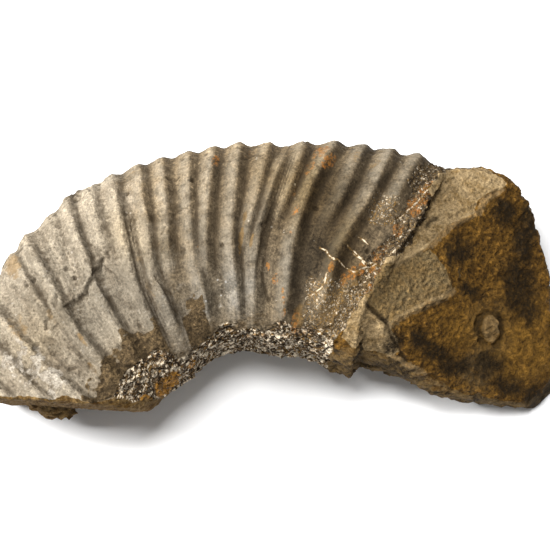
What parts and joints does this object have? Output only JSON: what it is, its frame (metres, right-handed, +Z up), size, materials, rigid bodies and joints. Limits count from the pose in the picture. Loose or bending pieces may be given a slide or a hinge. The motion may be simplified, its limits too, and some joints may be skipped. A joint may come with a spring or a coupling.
{
  "type": "fossil ammonite section",
  "caption": "Broken length of a large ammonite's ribbed outer whorl lying on its flank, with bare faceted rock at one end and an open arch on the inner side.",
  "frame": {"origin": "bottom centre of the box the piece stands in, at the height of the surface it lies on", "axes": "+X along the piece's length from the older ribbed end to the bare rock end, +Y towards the ribbed outer edge, +Z up, along the axis the shell coiled about"},
  "size_m": [0.3537, 0.1741, 0.0977],
  "materials": {
    "fossil_stone": "matt weathered limestone, grey-beige ribbed flank, ochre-brown broken rock"
  },
  "bodies": {
    "root": {"ammonite_section": "fossil_stone"}
  },
  "joints": []
}
